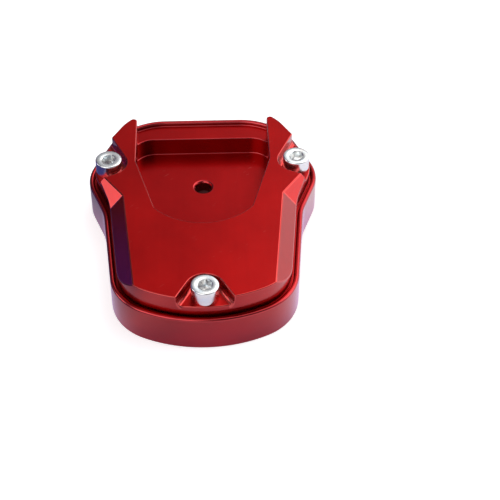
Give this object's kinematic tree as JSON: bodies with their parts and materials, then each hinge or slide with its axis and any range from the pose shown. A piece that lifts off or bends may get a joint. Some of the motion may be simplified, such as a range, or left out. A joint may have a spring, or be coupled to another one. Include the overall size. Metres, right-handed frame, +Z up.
{
  "type": "kickstand foot enlarger",
  "caption": "Red anodised aluminium side stand foot enlarger: a milled tray with a foot pocket under a bevelled, two-armed clamp plate held by cap screws.",
  "frame": {"origin": "middle of the tray's underside", "axes": "+X to the right, +Y towards the open ends of the two arms, +Z up, out of the pocket"},
  "size_m": [0.0748, 0.095, 0.0205],
  "materials": {
    "red_tray": "satin",
    "red_clamp": "satin",
    "zinc_screw": "polished"
  },
  "bodies": {
    "root": {"base_plate": "red_tray", "clamp_plate": "red_clamp", "clamp_screws": "zinc_screw"}
  },
  "joints": []
}
